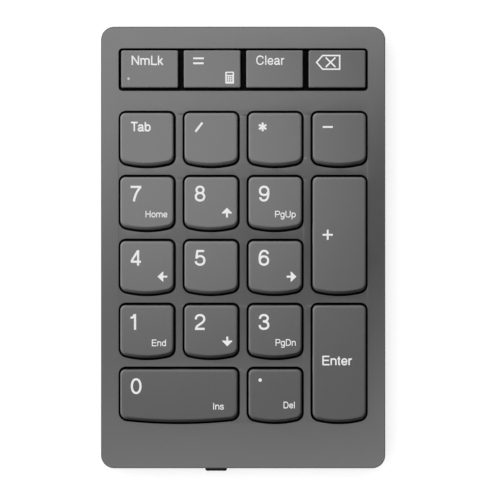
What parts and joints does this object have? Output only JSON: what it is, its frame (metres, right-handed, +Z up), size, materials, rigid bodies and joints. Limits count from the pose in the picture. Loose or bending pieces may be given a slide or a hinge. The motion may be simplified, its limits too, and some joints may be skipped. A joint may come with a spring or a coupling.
{
  "type": "numeric keypad",
  "caption": "Slim wireless numeric keypad: flat dark grey deck, low-profile travelling keys with curved front edges, a sliding power switch and a charging port.",
  "frame": {"origin": "bottom centre of the bounding box, on the plane that the rubber feet rest on", "axes": "+X to the right, +Y to the rear edge with the charging port, +Z up out of the key tops"},
  "size_m": [0.0848, 0.1326, 0.0102],
  "materials": {
    "cover": "fine satin, dark grey",
    "keycap": "fine satin, dark grey, white legends",
    "case": "fine spark texture",
    "knob": "satin black",
    "foot_rubber": "matt",
    "silicone": "translucent, matt",
    "guide": "moulded black",
    "steel": "rolled sheet and drawn wire",
    "screw": "black zinc",
    "polyester": "printed film",
    "board": "solder mask",
    "chip": "moulded resin",
    "socket": "moulded ivory",
    "cell": "foil pouch",
    "lead_red": "insulated wire",
    "lead_black": "insulated wire",
    "cable": "polyimide film",
    "lamp_clear": "clear"
  },
  "bodies": {
    "chassis": {"top_cover": "cover", "bottom_case": "case", "backing_plate": "steel", "membrane_bottom_layer": "polyester", "membrane_spacer": "polyester", "membrane_top_layer": "polyester", "dome_sheet": "silicone", "key_guide_frame": "guide", "lock_lamp": "lamp_clear", "main_board": "board", "radio_shield": "steel", "controller_chip": "chip", "membrane_socket": "socket", "battery_cell": "cell", "battery_lead_positive": "lead_red", "battery_lead_negative": "lead_black", "usb_board": "board", "usb_receptacle": "steel", "flat_cable": "cable", "power_switch_body": "steel", "rubber_foot_1": "foot_rubber", "rubber_foot_2": "foot_rubber", "rubber_foot_3": "foot_rubber", "rubber_foot_4": "foot_rubber", "case_screw_1": "screw", "case_screw_2": "screw", "case_screw_3": "screw", "case_screw_4": "screw", "case_screw_5": "screw", "case_screw_6": "screw"},
    "key_num_lock": {"key_num_lock": "keycap", "lock_lamp_window": "lamp_clear"},
    "key_equals": {"key_equals": "keycap"},
    "key_clear": {"key_clear": "keycap"},
    "key_backspace": {"key_backspace": "keycap"},
    "key_tab": {"key_tab": "keycap"},
    "key_divide": {"key_divide": "keycap"},
    "key_multiply": {"key_multiply": "keycap"},
    "key_minus": {"key_minus": "keycap"},
    "key_7": {"key_7": "keycap"},
    "key_8": {"key_8": "keycap"},
    "key_9": {"key_9": "keycap"},
    "key_plus": {"key_plus": "keycap"},
    "key_4": {"key_4": "keycap"},
    "key_5": {"key_5": "keycap"},
    "key_6": {"key_6": "keycap"},
    "key_1": {"key_1": "keycap"},
    "key_2": {"key_2": "keycap"},
    "key_3": {"key_3": "keycap"},
    "key_enter": {"key_enter": "keycap"},
    "key_0": {"key_0": "keycap"},
    "key_decimal": {"key_decimal": "keycap"},
    "stabiliser_wire_0": {"stabiliser_wire_0": "steel"},
    "stabiliser_wire_plus": {"stabiliser_wire_plus": "steel"},
    "stabiliser_wire_enter": {"stabiliser_wire_enter": "steel"},
    "power_switch_knob": {"power_switch_knob": "knob"}
  },
  "joints": [
    {"name": "key_num_lock_press", "type": "slide", "parent": "chassis", "child": "key_num_lock", "axis": [0, 0, -1], "range_m": [0, 0.002], "stiffness_N_per_m": 150, "deforming": ["dome_sheet"]},
    {"name": "key_equals_press", "type": "slide", "parent": "chassis", "child": "key_equals", "axis": [0, 0, -1], "range_m": [0, 0.002], "stiffness_N_per_m": 150, "deforming": ["dome_sheet"]},
    {"name": "key_clear_press", "type": "slide", "parent": "chassis", "child": "key_clear", "axis": [0, 0, -1], "range_m": [0, 0.002], "stiffness_N_per_m": 150, "deforming": ["dome_sheet"]},
    {"name": "key_backspace_press", "type": "slide", "parent": "chassis", "child": "key_backspace", "axis": [0, 0, -1], "range_m": [0, 0.002], "stiffness_N_per_m": 150, "deforming": ["dome_sheet"]},
    {"name": "key_tab_press", "type": "slide", "parent": "chassis", "child": "key_tab", "axis": [0, 0, -1], "range_m": [0, 0.002], "stiffness_N_per_m": 150, "deforming": ["dome_sheet"]},
    {"name": "key_divide_press", "type": "slide", "parent": "chassis", "child": "key_divide", "axis": [0, 0, -1], "range_m": [0, 0.002], "stiffness_N_per_m": 150, "deforming": ["dome_sheet"]},
    {"name": "key_multiply_press", "type": "slide", "parent": "chassis", "child": "key_multiply", "axis": [0, 0, -1], "range_m": [0, 0.002], "stiffness_N_per_m": 150, "deforming": ["dome_sheet"]},
    {"name": "key_minus_press", "type": "slide", "parent": "chassis", "child": "key_minus", "axis": [0, 0, -1], "range_m": [0, 0.002], "stiffness_N_per_m": 150, "deforming": ["dome_sheet"]},
    {"name": "key_7_press", "type": "slide", "parent": "chassis", "child": "key_7", "axis": [0, 0, -1], "range_m": [0, 0.002], "stiffness_N_per_m": 150, "deforming": ["dome_sheet"]},
    {"name": "key_8_press", "type": "slide", "parent": "chassis", "child": "key_8", "axis": [0, 0, -1], "range_m": [0, 0.002], "stiffness_N_per_m": 150, "deforming": ["dome_sheet"]},
    {"name": "key_9_press", "type": "slide", "parent": "chassis", "child": "key_9", "axis": [0, 0, -1], "range_m": [0, 0.002], "stiffness_N_per_m": 150, "deforming": ["dome_sheet"]},
    {"name": "key_plus_press", "type": "slide", "parent": "chassis", "child": "key_plus", "axis": [0, 0, -1], "range_m": [0, 0.002], "stiffness_N_per_m": 150, "deforming": ["dome_sheet"]},
    {"name": "key_4_press", "type": "slide", "parent": "chassis", "child": "key_4", "axis": [0, 0, -1], "range_m": [0, 0.002], "stiffness_N_per_m": 150, "deforming": ["dome_sheet"]},
    {"name": "key_5_press", "type": "slide", "parent": "chassis", "child": "key_5", "axis": [0, 0, -1], "range_m": [0, 0.002], "stiffness_N_per_m": 150, "deforming": ["dome_sheet"]},
    {"name": "key_6_press", "type": "slide", "parent": "chassis", "child": "key_6", "axis": [0, 0, -1], "range_m": [0, 0.002], "stiffness_N_per_m": 150, "deforming": ["dome_sheet"]},
    {"name": "key_1_press", "type": "slide", "parent": "chassis", "child": "key_1", "axis": [0, 0, -1], "range_m": [0, 0.002], "stiffness_N_per_m": 150, "deforming": ["dome_sheet"]},
    {"name": "key_2_press", "type": "slide", "parent": "chassis", "child": "key_2", "axis": [0, 0, -1], "range_m": [0, 0.002], "stiffness_N_per_m": 150, "deforming": ["dome_sheet"]},
    {"name": "key_3_press", "type": "slide", "parent": "chassis", "child": "key_3", "axis": [0, 0, -1], "range_m": [0, 0.002], "stiffness_N_per_m": 150, "deforming": ["dome_sheet"]},
    {"name": "key_enter_press", "type": "slide", "parent": "chassis", "child": "key_enter", "axis": [0, 0, -1], "range_m": [0, 0.002], "stiffness_N_per_m": 150, "deforming": ["dome_sheet"]},
    {"name": "key_0_press", "type": "slide", "parent": "chassis", "child": "key_0", "axis": [0, 0, -1], "range_m": [0, 0.002], "stiffness_N_per_m": 150, "deforming": ["dome_sheet"]},
    {"name": "key_decimal_press", "type": "slide", "parent": "chassis", "child": "key_decimal", "axis": [0, 0, -1], "range_m": [0, 0.002], "stiffness_N_per_m": 150, "deforming": ["dome_sheet"]},
    {"name": "stabiliser_wire_0_turn", "type": "hinge", "parent": "chassis", "child": "stabiliser_wire_0", "pos_m": [-0.01905, -0.0379, 0.00575], "axis": [1, 0, 0], "range_deg": [0, 12.6]},
    {"name": "stabiliser_wire_plus_turn", "type": "hinge", "parent": "chassis", "child": "stabiliser_wire_plus", "pos_m": [0.03417, 0.00413, 0.00575], "axis": [0, -1, 0], "range_deg": [0, 12.6]},
    {"name": "stabiliser_wire_enter_turn", "type": "hinge", "parent": "chassis", "child": "stabiliser_wire_enter", "pos_m": [0.03417, -0.03397, 0.00575], "axis": [0, -1, 0], "range_deg": [0, 12.6]},
    {"name": "power_switch_slide", "type": "slide", "parent": "chassis", "child": "power_switch_knob", "axis": [1, 0, 0], "range_m": [0, 0.002]}
  ],
  "couplings": [
    {"joint": "stabiliser_wire_0_turn", "follows": "key_0_press", "rad_per_m": 109.33},
    {"joint": "stabiliser_wire_plus_turn", "follows": "key_plus_press", "rad_per_m": 109.33},
    {"joint": "stabiliser_wire_enter_turn", "follows": "key_enter_press", "rad_per_m": 109.33}
  ]
}
